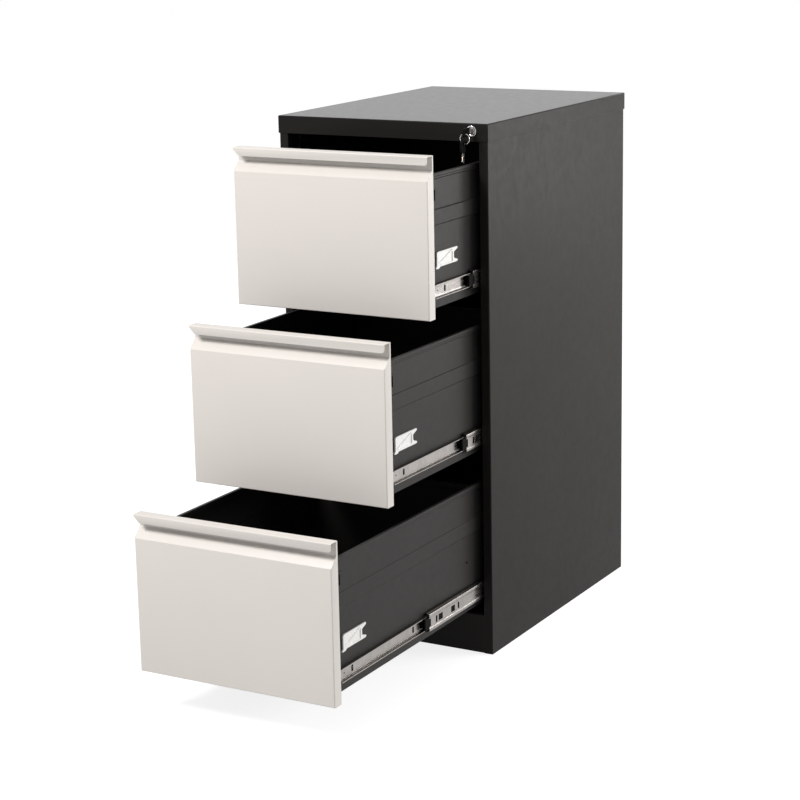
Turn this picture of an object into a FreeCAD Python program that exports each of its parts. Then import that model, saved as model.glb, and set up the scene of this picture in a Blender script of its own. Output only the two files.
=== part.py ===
import FreeCAD, Part
import math
import os

# Three-drawer vertical filing cabinet in folded sheet steel, in millimetres.
# +X is right, +Y runs from the front to the back and +Z is up. The origin is on the floor, on the
# cabinet's centreline, in the middle of the plinth's foot.

# Carcass
cabinet_width = 457.0
cabinet_depth = 622.0
cabinet_height = 1033.0
carcass_sheet = 1.0
bend_radius = 1.0
sharp_bend_limit = math.radians(60)
cap_skirt = 34.0
cap_proud = 1.5
cap_corner_radius = 2.0
stile_width = 20.0
stile_return = 16.0
rear_flange = 15.0
side_foot = 15.0
plinth_height = 78.5
plinth_foot = 20.0
plinth_lip = 12.0
base_pan_height = 72.0
base_pan_flange = 25.0
edge_clearance = 0.3

# Cutters run this far past what they cut, and coordinates this close are the same
cut_overrun = 1.0
same_place = 0.01
shortest_edge = 1e-7

# Drawers, listed from the lowest to the uppermost, with how far each stage stands out at rest
drawer_names = ("lower", "middle", "upper")
telescope_out = (256.0, 100.0, 66.0)
drawer_out_of_telescope = (300.0, 260.0, 129.0)
front_gap_below = 3.5
front_gap_between = 10.0
front_gap_above = 4.5
front_depth = 22.4
front_side_gap = 2.3
front_sheet = 1.0
front_bend_radius = 1.2
front_rear_lip = 10.0
pull_lip_height = 16.0
pull_lip_corner = 12.0
pull_lip_corner_radius = 5.0
pull_recess_depth = 18.5
pull_recess_height = 26.0
pull_crease_height = 45.0
liner_sheet = 1.0
liner_inset = 1.7

# Drawer body
drawer_sheet = 0.8
drawer_rear_gap = 40.0
side_bottom_rise = 16.0
side_top_drop = 35.0
side_bottom_flange = 14.0
band_drop = 64.5
band_height = 30.5
band_depth = 2.0
rail_height = 11.0
rail_upper_rib = 3.0
rail_lower_rib = 1.8
rail_fold_in = 4.0
side_front_flange = 14.0
floor_flange = 12.0
back_top_flange = 12.0
back_top_lip = 8.0
back_drop = 12.0
side_hole_radius = 2.5
side_hole_from_end = 67.0
side_hole_rise = 115.0

# Clips on the drawer sides
clip_front = 44.0
clip_length = 81.0
clip_low_rise = 91.0
clip_height = 28.0
clip_base = 1.4
clip_thickness = 3.2
clip_bar = 5.0
clip_notch_length = 12.0
clip_notch_height = 9.0
clip_foot_length = 12.0
clip_foot_forward = 4.0
clip_foot_drop = 6.0
clip_rib_width = 1.6

# Telescopic slides: a cabinet member, a telescope member and a drawer member on each side
slide_height = 45.0
slide_thickness = 12.7
slide_gauge = 1.2
slide_bend_radius = 0.6
slide_rear_gap = 2.0
slide_centre_rise = 48.5
cabinet_member_setback = 36.0
telescope_setback = 39.0
drawer_member_setback = 30.0
web_clearance = 0.4
opening_clearance = 0.7
ball_radius = 2.0
ball_clearance = 0.15
inner_ball_u = 3.9
outer_ball_u = 9.4
drawer_member_reach = 7.6
telescope_reach = 2.4
cabinet_member_reach = 5.2
balls_in_row = 2
ball_spacing = 100.0
retainer_sheet = 0.6
retainer_clearance = 0.3
retainer_end = 12.0
inner_retainer_setback = 170.0
outer_retainer_setback = 150.0
holder_half_width = 1.5
holder_half_length = 3.0
slide_slot_length = 12.0
slide_slot_height = 8.0
telescope_slot_places = (38.0, 88.0)
stop_ahead = 16.0
stop_behind = 10.0
stop_half_height = 11.0
stop_web_gap = 0.3
stop_bevel = 1.0

# Uprights that carry the slides
upright_sheet = 1.0
upright_width = 40.0
front_upright_setback = 45.0
rear_upright_gap = 117.0

# Lock, key and locking bar
lock_from_side = 33.9
lock_drop = 14.5
lock_head_radius = 10.4
lock_head_thickness = 3.0
lock_barrel_radius = 8.0
lock_barrel_length = 18.0
lock_plug_radius = 6.0
lock_running_clearance = 0.05
lock_plug_length = 20.0
nut_sides = 6
lock_nut_flats = 20.0
lock_nut_thickness = 3.0
keyway_length = 21.0
keyway_clearance = 0.3
cam_square = 7.0
cam_sheet = 2.0
cam_throw = 12.0
cam_hub_radius = 7.0
cam_tip_radius = 2.8
cam_pin_radius = 1.75
cam_half_turn = 45.0
cam_stud_radius = 3.0
cam_stud_length = 3.4
cam_pin_past_bar = 1.0
cam_nut_flats = 10.0
cam_nut_thickness = 2.4
bar_sheet = 1.6
bar_width = 12.6
bar_setback = 25.4
bar_slot_clearance = 0.6
bar_slot_margin = 1.8
bar_slot_overrun = 0.8
bar_side_gap = 1.6
bar_tail = 16.0
hook_height = 17.0
hook_below_catch = 2.0
hook_tip_gap = 3.8
catch_drop = 27.5
catch_height = 20.0
catch_setback = 29.0
catch_sheet = 1.5
catch_reach = 9.0
catch_base_length = 19.0
guide_drop = 7.5
guide_height = 15.0
guide_wall = 1.2
guide_clearance = 0.3
key_blade_length = 19.0
key_blade_height = 7.4
key_blade_thickness = 2.0
key_bow_length = 22.0
key_bow_height = 15.0
key_bow_thickness = 3.0
key_bow_corner = 4.0
key_stands_off = 13.0
key_hole_radius = 3.0
key_hole_from_end = 6.0
key_blade_root = 2.0
key_bit_depth = 1.2
key_bit_spacing = 3.5
key_bit_count = 3
ring_inner_radius = 9.0
ring_wire_height = 1.2
ring_wire_width = 1.8
ring_slack = 0.65
spare_key_angle = 25.0
spare_key_slack = 1.2

# Places that follow from the sizes above
front_y = -plinth_foot / 2
cap_front_y = front_y - cap_proud
rear_y = cap_front_y + cabinet_depth - cap_proud
side_x = cabinet_width / 2 - cap_proud
side_inner_x = side_x - carcass_sheet
opening_x = cabinet_width / 2 - stile_width
side_panel_height = cabinet_height - carcass_sheet
back_front_y = rear_y - 2 * carcass_sheet

telescope_web_u = slide_thickness - slide_gauge - web_clearance
drawer_x = opening_x - opening_clearance - telescope_web_u
upright_x = drawer_x + slide_thickness
front_x = opening_x - front_side_gap
liner_back = front_depth + liner_sheet
first_front_z = plinth_height + front_gap_below
fronts_height = cabinet_height - cap_skirt - front_gap_above - first_front_z
front_height = (fronts_height + front_gap_between) / len(drawer_names) - front_gap_between
drawer_pitch = front_height + front_gap_between

drawer_length = back_front_y - front_y - drawer_rear_gap
side_top_rise = front_height - side_top_drop
band_high_rise = side_top_rise - band_drop
band_low_rise = band_high_rise - band_height
catch_rise = side_top_rise - catch_drop - catch_height
guide_rise = side_top_rise - guide_drop - guide_height
slide_length = drawer_length - drawer_member_setback - slide_rear_gap
rear_upright_setback = back_front_y - front_y - rear_upright_gap

drawer_flange_v = slide_height / 2
cabinet_flange_v = drawer_flange_v - slide_gauge
ball_gap = 2 * (ball_radius + ball_clearance)
floor_track_v = cabinet_flange_v - ball_gap
outer_ball_v = cabinet_flange_v - ball_gap / 2
inner_ball_v = floor_track_v - slide_gauge - retainer_sheet / 2 - retainer_clearance
telescope_roof_v = inner_ball_v + ball_gap / 2
drawer_track_v = inner_ball_v - ball_gap / 2

holder_half_height = ball_gap / 2 - retainer_clearance
retainer_length = 2 * retainer_end + ball_spacing * (balls_in_row - 1)

lock_x = cabinet_width / 2 - lock_from_side
lock_z = cabinet_height - lock_drop
bar_x = upright_x + bar_side_gap


def vec(x, y, z):
    """Point or direction in the cabinet's frame."""
    return FreeCAD.Vector(x, y, z)


def box(low_x, high_x, low_y, high_y, low_z, high_z):
    """Box between two corners."""
    corner = vec(low_x, low_y, low_z)
    return Part.makeBox(high_x - low_x, high_y - low_y, high_z - low_z, corner)


def along_y(radius, x, low_y, high_y, z):
    """Round bar that runs from front to back."""
    return Part.makeCylinder(radius, high_y - low_y, vec(x, low_y, z), vec(0, 1, 0))


def along_x(radius, low_x, high_x, y, z):
    """Round bar that runs from left to right."""
    return Part.makeCylinder(radius, high_x - low_x, vec(low_x, y, z), vec(1, 0, 0))


def mirrored(shape):
    """The same piece on the other side of the centreline."""
    return shape.mirror(vec(0, 0, 0), vec(1, 0, 0))


def pair(right_piece):
    """A right-hand piece and its left-hand twin, as two solids."""
    return Part.makeCompound([right_piece, mirrored(right_piece)])


def unit(start, end):
    """Direction from one point of a flat outline to the next."""
    length = math.hypot(end[0] - start[0], end[1] - start[1])
    return ((end[0] - start[0]) / length, (end[1] - start[1]) / length)


def offset_outline(points, distance, closed):
    """The outline's corners moved to its left by a distance, each along its own mitre."""
    count = len(points)
    moved = []
    for index, point in enumerate(points):
        has_before = closed or index > 0
        has_after = closed or index < count - 1
        before = unit(points[index - 1], point) if has_before else None
        after = unit(point, points[(index + 1) % count]) if has_after else None
        before = before or after
        after = after or before
        left_before = (-before[1], before[0])
        left_after = (-after[1], after[0])
        spread = 1 + left_before[0] * left_after[0] + left_before[1] * left_after[1]
        shift_u = distance * (left_before[0] + left_after[0]) / spread
        shift_v = distance * (left_before[1] + left_after[1]) / spread
        moved.append((point[0] + shift_u, point[1] + shift_v))
    return moved


def rounded_run(points, left_radius, right_radius):
    """Straight lines and tangent arcs through an open outline, each as its start, middle and end.
    A corner that turns left gets the left radius, and one that turns right the right radius. A
    slight bend stays a plain corner."""
    pieces = []
    here = points[0]
    for index in range(1, len(points) - 1):
        corner = points[index]
        before = unit(points[index - 1], corner)
        after = unit(corner, points[index + 1])
        turn = before[0] * after[1] - before[1] * after[0]
        bend = math.atan2(turn, before[0] * after[0] + before[1] * after[1])
        radius = left_radius if bend > 0 else right_radius
        if abs(bend) < sharp_bend_limit or radius == 0:
            pieces.append((here, None, corner))
            here = corner
            continue
        tangent = radius * math.tan(abs(bend) / 2)
        start = (corner[0] - before[0] * tangent, corner[1] - before[1] * tangent)
        end = (corner[0] + after[0] * tangent, corner[1] + after[1] * tangent)
        side = 1 if bend > 0 else -1
        centre = (start[0] - side * before[1] * radius, start[1] + side * before[0] * radius)
        out = unit(centre, corner)
        middle = (centre[0] + out[0] * radius, centre[1] + out[1] * radius)
        pieces.append((here, None, start))
        pieces.append((start, middle, end))
        here = end
    pieces.append((here, None, points[-1]))
    return pieces


def bent_sheet(points, thickness, radius, origin, u_axis, v_axis, run):
    """Bent sheet of one thickness. The points are one face of its section, and the other face lies
    to their left. Each bend has the given radius on its hollow side, or is square where that is 0,
    and the section, drawn along u_axis and v_axis from the origin, is carried along run."""
    other_side = offset_outline(points, thickness, False)
    outer_radius = radius + thickness if radius else 0
    face_run = rounded_run(points, outer_radius, radius)
    other_run = rounded_run(other_side, radius, outer_radius)
    back_run = [(end, middle, start) for start, middle, end in reversed(other_run)]
    outline = face_run + [(points[-1], None, other_side[-1])]
    outline += back_run + [(other_side[0], None, points[0])]

    def placed(point):
        return origin + u_axis * point[0] + v_axis * point[1]

    edges = []
    for start, middle, end in outline:
        if math.hypot(end[0] - start[0], end[1] - start[1]) < shortest_edge:
            continue
        if middle is None:
            edges.append(Part.LineSegment(placed(start), placed(end)).toShape())
        else:
            edges.append(Part.Arc(placed(start), placed(middle), placed(end)).toShape())
    return Part.Face(Part.Wire(edges)).extrude(run)


def prism(points, origin, u_axis, v_axis, run):
    """Solid with a flat outline of straight lines, drawn along u_axis and v_axis, carried along run."""
    corners = [origin + u_axis * point[0] + v_axis * point[1] for point in points]
    return Part.Face(Part.makePolygon(corners + corners[:1])).extrude(run)


def fillet_where(shape, radius, wanted):
    """Rounds each edge whose middle point passes the wanted test."""
    chosen = [edge for edge in shape.Edges if wanted(edge.CenterOfMass)]
    return shape.makeFillet(radius, chosen)


def near(value, target):
    """True where a coordinate lies on the plane that is meant."""
    return abs(value - target) < same_place


def open_tray(low_x, high_x, low_y, high_y, low_z, high_z, sheet):
    """Tray turned upside down: a top and four skirts of one sheet."""
    block = box(low_x, high_x, low_y, high_y, low_z, high_z)
    return block.cut(box(low_x + sheet, high_x - sheet, low_y + sheet, high_y - sheet,
                         low_z - cut_overrun, high_z - sheet))


# Top cap: a folded tray that drops over the panels. Its front skirt is the top rail and carries
# the lock, and its front edge is folded back under.
def make_top_cap():
    skirt_z = cabinet_height - cap_skirt
    back_y = rear_y + cap_proud
    cap = open_tray(-cabinet_width / 2, cabinet_width / 2, cap_front_y, back_y, skirt_z,
                    cabinet_height, carcass_sheet)

    cap = fillet_where(cap, cap_corner_radius, lambda c: near(c.z, cabinet_height) and (
        near(abs(c.x), cabinet_width / 2) or near(c.y, cap_front_y) or near(c.y, back_y)))
    fold_x = opening_x - edge_clearance
    fold = box(-fold_x, fold_x, cap_front_y + carcass_sheet / 2, front_y + stile_return,
               skirt_z, skirt_z + carcass_sheet)
    hole = along_y(lock_barrel_radius, lock_x, cap_front_y - cut_overrun,
                   cap_front_y + carcass_sheet + cut_overrun, lock_z)
    return cap.fuse(fold).removeSplitter().cut(hole)


# Side panel: one sheet folded round the front edge into the stile, with a flange at the back and
# a foot flange on the floor.
def make_right_side_panel():
    section = [(opening_x, front_y + stile_return), (opening_x, front_y), (side_x, front_y),
               (side_x, rear_y), (side_x - rear_flange, rear_y)]
    panel = bent_sheet(section, carcass_sheet, bend_radius, vec(0, 0, 0), vec(1, 0, 0),
                       vec(0, 1, 0), vec(0, 0, side_panel_height))
    foot = box(side_x - side_foot, side_x - carcass_sheet / 2, front_y + stile_return,
               back_front_y, 0, carcass_sheet)
    return panel.fuse(foot).removeSplitter()


def make_back_panel():
    half = side_inner_x - bend_radius - edge_clearance
    return box(-half, half, back_front_y, back_front_y + carcass_sheet, 0, side_panel_height)


# Plinth rail: a folded channel between the stiles, open at the back.
def make_plinth_rail():
    section = [(front_y + stile_return, plinth_height - plinth_lip),
               (front_y + stile_return, plinth_height), (front_y, plinth_height), (front_y, 0),
               (front_y + plinth_foot, 0), (front_y + plinth_foot, plinth_lip)]
    return bent_sheet(section, carcass_sheet, bend_radius, vec(-opening_x, 0, 0), vec(0, 1, 0),
                      vec(0, 0, 1), vec(2 * opening_x, 0, 0))


def make_base_pan():
    return open_tray(-side_inner_x, side_inner_x, front_y + stile_return, back_front_y,
                     base_pan_height - base_pan_flange, base_pan_height, carcass_sheet)


# Uprights: channels that stand on the base pan against the side panels and carry the slides.
def make_right_upright(setback):
    front = front_y + setback
    back = front + upright_width
    section = [(side_inner_x, back), (upright_x, back), (upright_x, front), (side_inner_x, front)]
    return bent_sheet(section, upright_sheet, 0, vec(0, 0, base_pan_height),
                      vec(1, 0, 0), vec(0, 1, 0), vec(0, 0, side_panel_height - base_pan_height))


# Slide members. Their sections are drawn with u outward from the drawer's side and v up from the
# middle of the slide, and each is the same above and below the middle.
def slide_member(half_section, drawer_index, front, radius):
    """Rolled member from the outer face of its section's upper half, which starts at the web."""
    web_u = half_section[0][0]
    lower_half = [(u, -v) for u, v in reversed(half_section)]
    outline = lower_half + half_section
    if web_u < half_section[-1][0]:
        outline.reverse()
    return bent_sheet(outline, slide_gauge, radius,
                      vec(drawer_x, front, slide_centre(drawer_index)), vec(1, 0, 0),
                      vec(0, 0, 1), vec(0, slide_length, 0))


def slide_centre(drawer_index):
    return front_bottom(drawer_index) + slide_centre_rise


def front_bottom(drawer_index):
    return first_front_z + drawer_index * drawer_pitch


def face_y(drawer_index):
    """Front face of a drawer where it stands at rest."""
    return front_y - telescope_out[drawer_index] - drawer_out_of_telescope[drawer_index]


# Cabinet member: a plain channel on the uprights, open towards the drawer.
def make_cabinet_member(drawer_index):
    section = [(slide_thickness, drawer_flange_v), (cabinet_member_reach, drawer_flange_v)]
    return slide_member(section, drawer_index, front_y + cabinet_member_setback, 0)


# Telescope member: each flange steps over the inner balls and carries the outer balls on its back.
def make_telescope_member(drawer_index):
    step = telescope_roof_v + slide_gauge - floor_track_v
    middle_u = (inner_ball_u + outer_ball_u) / 2
    section = [(telescope_web_u, floor_track_v), (middle_u + step / 2, floor_track_v),
               (middle_u - step / 2, floor_track_v + step), (telescope_reach, floor_track_v + step)]
    front = front_y + telescope_setback - telescope_out[drawer_index]
    member = slide_member(section, drawer_index, front, slide_bend_radius)
    for place in telescope_slot_places:
        low_y = front + place
        low_z = slide_centre(drawer_index) - slide_slot_height / 2
        member = member.cut(box(drawer_x + telescope_web_u - slide_gauge - cut_overrun,
                                drawer_x + telescope_web_u + cut_overrun, low_y,
                                low_y + slide_slot_length, low_z, low_z + slide_slot_height))
    return member


# Drawer member: a channel fixed to the drawer's side by its web.
def make_drawer_member(drawer_index):
    section = [(0, drawer_track_v), (drawer_member_reach, drawer_track_v)]
    front = face_y(drawer_index) + drawer_member_setback
    return slide_member(section, drawer_index, front, slide_bend_radius)


def ball_holders(front, u, v, drawer_index):
    """Moulded blocks that hold the balls of one row above and one row below."""
    holders = []
    for side in (1, -1):
        middle_z = slide_centre(drawer_index) + side * v
        for number in range(balls_in_row):
            middle_y = front + retainer_end + ball_spacing * number
            holders.append(box(drawer_x + u - holder_half_width, drawer_x + u + holder_half_width,
                               middle_y - holder_half_length, middle_y + holder_half_length,
                               middle_z - holder_half_height, middle_z + holder_half_height))
    return holders


# Inner ball retainer: a thin channel between the drawer and telescope members, with its ball
# holders along both edges.
def make_inner_retainer(drawer_index):
    front = (front_y + telescope_setback - telescope_out[drawer_index] + inner_retainer_setback
             - drawer_out_of_telescope[drawer_index] / 2)
    web_u = (drawer_member_reach + telescope_web_u - slide_gauge + retainer_sheet) / 2
    top_v = inner_ball_v + retainer_sheet / 2
    section = [(inner_ball_u, -top_v), (web_u, -top_v), (web_u, top_v), (inner_ball_u, top_v)]
    channel = bent_sheet(section, retainer_sheet, 0,
                         vec(drawer_x, front, slide_centre(drawer_index)), vec(1, 0, 0),
                         vec(0, 0, 1), vec(0, retainer_length, 0))
    return channel.fuse(ball_holders(front, inner_ball_u, inner_ball_v,
                                     drawer_index)).removeSplitter()


# Outer ball retainer: a strip above and one below, between the telescope and cabinet members.
def make_outer_retainer(drawer_index):
    front = (front_y + cabinet_member_setback + outer_retainer_setback
             - telescope_out[drawer_index] / 2)
    strips = []
    for side in (1, -1):
        middle = slide_centre(drawer_index) + side * outer_ball_v
        strips.append(box(drawer_x + outer_ball_u - holder_half_width,
                          drawer_x + outer_ball_u + holder_half_width, front,
                          front + retainer_length, middle - retainer_sheet / 2,
                          middle + retainer_sheet / 2))
    holders = ball_holders(front, outer_ball_u, outer_ball_v, drawer_index)
    return strips[0].fuse(strips[1:] + holders).removeSplitter()


# Slide stop: a plastic block on the web at the front end of the telescope member.
def make_slide_stop(drawer_index):
    front = front_y + telescope_setback - telescope_out[drawer_index]
    low_u = drawer_member_reach + stop_web_gap
    web_u = telescope_web_u - slide_gauge
    outline = [(low_u, stop_bevel - stop_ahead), (low_u + stop_bevel, -stop_ahead),
               (telescope_web_u - stop_bevel, -stop_ahead),
               (telescope_web_u, stop_bevel - stop_ahead), (telescope_web_u, 0), (web_u, 0),
               (web_u, stop_behind), (low_u, stop_behind)]
    low = slide_centre(drawer_index) - stop_half_height
    return prism(outline, vec(drawer_x, front, low), vec(1, 0, 0), vec(0, 1, 0),
                 vec(0, 0, 2 * stop_half_height))


# Drawer front: one folded pan. The face leans back at the top into a full-width recess, and the
# sheet then runs forward over it and hangs down as the pull's lip, whose corners are cut away.
def make_drawer_front(drawer_index):
    y = face_y(drawer_index)
    low_z = front_bottom(drawer_index)
    high_z = low_z + front_height
    outline = [(0, 0), (0, front_height - pull_crease_height),
               (pull_recess_depth, front_height - pull_recess_height),
               (pull_recess_depth, front_height), (front_depth, front_height), (front_depth, 0)]
    pan_axes = (vec(0, 1, 0), vec(0, 0, 1))
    block = prism(outline, vec(-front_x, y, low_z), *pan_axes, vec(2 * front_x, 0, 0))
    outer_radius = front_bend_radius + front_sheet
    crease_z = front_height - pull_crease_height
    block = fillet_where(block, outer_radius, lambda c: near(c.y, y) and c.z < low_z + crease_z)
    hollow_outline = offset_outline(outline, -front_sheet, True)
    hollow = prism(hollow_outline, vec(front_sheet - front_x, y, low_z), *pan_axes,
                   vec(2 * (front_x - front_sheet), 0, 0))
    hollow = fillet_where(hollow, front_bend_radius,
                          lambda c: near(c.y, y + front_sheet) and c.z < low_z + crease_z)
    inset = front_sheet + front_rear_lip
    mouth = box(inset - front_x, front_x - inset, y + front_depth - front_sheet - cut_overrun,
                y + front_depth + cut_overrun, low_z + inset, high_z - inset)
    pan = block.cut(hollow).cut(mouth)

    lip_section = [(front_depth, front_height), (0, front_height),
                   (0, front_height - pull_lip_height)]
    lip = bent_sheet(lip_section, front_sheet, front_bend_radius, vec(-front_x, y, low_z),
                     *pan_axes, vec(2 * front_x, 0, 0))
    lip_low = high_z - pull_lip_height
    inner_corner_x = front_x - pull_lip_corner
    for side in (1, -1):
        corner = [(side * front_x, lip_low - cut_overrun),
                  (side * (inner_corner_x - cut_overrun), lip_low - cut_overrun),
                  (side * (front_x + cut_overrun), lip_low + pull_lip_corner + cut_overrun)]
        lip = lip.cut(prism(corner, vec(0, y - cut_overrun, 0), vec(1, 0, 0), vec(0, 0, 1),
                            vec(0, front_sheet + 2 * cut_overrun, 0)))

    def lip_corner(centre):
        return near(abs(centre.x), inner_corner_x) and near(centre.z, lip_low)

    lip = fillet_where(lip, pull_lip_corner_radius, lip_corner)
    return pan.fuse(lip).removeSplitter()


def make_drawer_liner(drawer_index):
    y = face_y(drawer_index) + front_depth
    half = front_x - liner_inset
    low_z = front_bottom(drawer_index)
    return box(-half, half, y, y + liner_sheet, low_z + liner_inset,
               low_z + front_height - liner_inset)


# Drawer side: a flange under the floor, a pressed band half way up and a two-ribbed rail along the
# top, all rolled in one sheet, with a flange at the front that meets the liner.
def make_drawer_right_side(drawer_index):
    base_z = front_bottom(drawer_index)
    low = side_bottom_rise
    top = side_top_rise
    upper_rib = drawer_x + rail_upper_rib
    lower_rib = drawer_x + rail_lower_rib
    rib_step = rail_upper_rib - rail_lower_rib
    middle = top - rail_height / 2
    rail_bend_radius = drawer_sheet / 2
    section = [(drawer_x - side_bottom_flange, low), (drawer_x, low),
               (drawer_x, band_low_rise), (drawer_x + band_depth, band_low_rise + band_depth),
               (drawer_x + band_depth, band_high_rise - band_depth), (drawer_x, band_high_rise),
               (drawer_x, top - rail_height), (lower_rib, top - rail_height + rail_lower_rib),
               (lower_rib, middle - rib_step / 2), (upper_rib, middle + rib_step / 2),
               (upper_rib, top), (drawer_x - rail_fold_in, top),
               (drawer_x - rail_fold_in, top - rail_height + drawer_sheet)]
    front = face_y(drawer_index) + liner_back
    length = drawer_length - liner_back
    side = bent_sheet(section, drawer_sheet, rail_bend_radius, vec(0, front, base_z),
                      vec(1, 0, 0), vec(0, 0, 1), vec(0, length, 0))
    flange_low = base_z + low + floor_flange + 2 * drawer_sheet
    flange = box(drawer_x - side_front_flange, drawer_x - drawer_sheet / 2, front,
                 front + drawer_sheet, flange_low, base_z + top - rail_height - drawer_sheet)
    hole = along_x(side_hole_radius, drawer_x - 2 * drawer_sheet, drawer_x + drawer_sheet,
                   face_y(drawer_index) + drawer_length - side_hole_from_end,
                   base_z + side_hole_rise)
    return side.fuse(flange).removeSplitter().cut(hole)


def drawer_floor_half():
    return drawer_x - drawer_sheet - bend_radius - edge_clearance


# Drawer floor: lies on the sides' bottom flanges, with a flange up against the liner and the back.
def make_drawer_floor(drawer_index):
    y = face_y(drawer_index)
    low_z = front_bottom(drawer_index) + side_bottom_rise + drawer_sheet
    front = y + liner_back
    back = y + drawer_length - drawer_sheet
    section = [(front, low_z + floor_flange), (front, low_z), (back, low_z),
               (back, low_z + floor_flange)]
    half = drawer_floor_half()
    return bent_sheet(section, drawer_sheet, 0, vec(-half, 0, 0), vec(0, 1, 0), vec(0, 0, 1),
                      vec(2 * half, 0, 0))


def make_drawer_back(drawer_index):
    back = face_y(drawer_index) + drawer_length
    base_z = front_bottom(drawer_index)
    low = base_z + side_bottom_rise + drawer_sheet
    top = base_z + side_top_rise - back_drop
    section = [(back, low), (back, top), (back - back_top_flange, top),
               (back - back_top_flange, top - back_top_lip)]
    half = drawer_floor_half()
    return bent_sheet(section, drawer_sheet, 0, vec(-half, 0, 0), vec(0, 1, 0), vec(0, 0, 1),
                      vec(2 * half, 0, 0))


# Drawer clip: a moulded plate with a bar along its top and bottom edges, a diagonal rib, a notch
# in its rear end and a foot at its lower front corner.
def make_drawer_clip(drawer_index):
    front = face_y(drawer_index) + clip_front
    low = front_bottom(drawer_index) + clip_low_rise
    middle = clip_height / 2
    notch = clip_notch_height / 2
    notch_front = clip_length - clip_notch_length
    outline = [(0, 0), (-clip_foot_forward, -clip_foot_drop),
               (clip_foot_length, -clip_foot_drop), (clip_foot_length + clip_foot_drop, 0),
               (clip_length, 0), (clip_length, middle - notch), (notch_front, middle - notch),
               (notch_front, middle + notch), (clip_length, middle + notch),
               (clip_length, clip_height), (0, clip_height)]
    axes = (vec(0, 1, 0), vec(0, 0, 1))
    plate = prism(outline, vec(drawer_x, front, low), *axes, vec(clip_thickness, 0, 0))
    end = notch_front - clip_bar
    inner_low = clip_bar
    inner_high = clip_height - clip_bar
    rise = inner_high - inner_low
    run = end - clip_bar
    rib = clip_rib_width * math.hypot(run, rise) / rise / 2
    lower_pocket = [(clip_bar + rib, inner_low), (end, inner_low), (end, inner_high - rib * rise / run)]
    upper_pocket = [(clip_bar, inner_low + rib * rise / run), (end - rib, inner_high),
                    (clip_bar, inner_high)]
    for pocket in (lower_pocket, upper_pocket):
        plate = plate.cut(prism(pocket, vec(drawer_x + clip_base, front, low), *axes,
                                vec(clip_thickness, 0, 0)))
    return plate


# Lock catch: an angle on the drawer's right side, close behind the front.
def make_lock_catch(drawer_index):
    front = face_y(drawer_index) + catch_setback
    low = front_bottom(drawer_index) + catch_rise
    section = [(drawer_x, front + catch_base_length), (drawer_x, front),
               (drawer_x + catch_reach, front)]
    return bent_sheet(section, catch_sheet, 0, vec(0, 0, low), vec(1, 0, 0),
                      vec(0, 1, 0), vec(0, 0, catch_height))


# Lock housing: a head on the front of the cap's skirt and a barrel behind it, bored for the plug.
def make_lock_housing():
    head_front = cap_front_y - lock_head_thickness
    head = along_y(lock_head_radius, lock_x, head_front, cap_front_y, lock_z)
    barrel = along_y(lock_barrel_radius, lock_x, cap_front_y, front_y + lock_barrel_length, lock_z)
    bore = along_y(lock_plug_radius + lock_running_clearance, lock_x, head_front - cut_overrun,
                   front_y + lock_barrel_length + cut_overrun, lock_z)
    return head.fuse(barrel).removeSplitter().cut(bore)


def hexagon(flats, low_y, high_y):
    """Six-sided nut blank around the lock's axis, from its width across two flats."""
    reach = flats / 2 / math.cos(math.pi / nut_sides)
    turns = [2 * math.pi * step / nut_sides for step in range(nut_sides)]
    points = [(reach * math.cos(turn), reach * math.sin(turn)) for turn in turns]
    return prism(points, vec(lock_x, low_y, lock_z), vec(1, 0, 0), vec(0, 0, 1),
                 vec(0, high_y - low_y, 0))


def make_lock_nut():
    seat = cap_front_y + carcass_sheet
    blank = hexagon(lock_nut_flats, seat, seat + lock_nut_thickness)
    return blank.cut(along_y(lock_barrel_radius, lock_x, seat - cut_overrun,
                             seat + lock_nut_thickness + cut_overrun, lock_z))


# Plug: turns in the housing, slotted for the key, with a square and a stud for the cam.
def make_lock_plug():
    front = cap_front_y - lock_head_thickness
    back = front_y + lock_plug_length
    plug = along_y(lock_plug_radius, lock_x, front, back, lock_z)
    half_square = cam_square / 2
    square = box(lock_x - half_square, lock_x + half_square, back, back + cam_sheet,
                 lock_z - half_square, lock_z + half_square)
    square = square.common(along_y(lock_plug_radius - lock_running_clearance, lock_x, back,
                                   back + cam_sheet, lock_z))
    stud = along_y(cam_stud_radius, lock_x, back + cam_sheet, back + cam_sheet + cam_stud_length,
                   lock_z)
    half_wide = key_blade_thickness / 2 + keyway_clearance
    half_high = key_blade_height / 2 + keyway_clearance
    keyway = box(lock_x - half_wide, lock_x + half_wide, front - cut_overrun, front + keyway_length,
                 lock_z - half_high, lock_z + half_high)
    return plug.cut(keyway).fuse(square).fuse(stud).removeSplitter()


def cam_tip():
    """Middle of the cam's pin where the lock is open, down to the right of the plug."""
    angle = math.radians(-cam_half_turn)
    return lock_x + cam_throw * math.cos(angle), lock_z + cam_throw * math.sin(angle)


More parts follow.
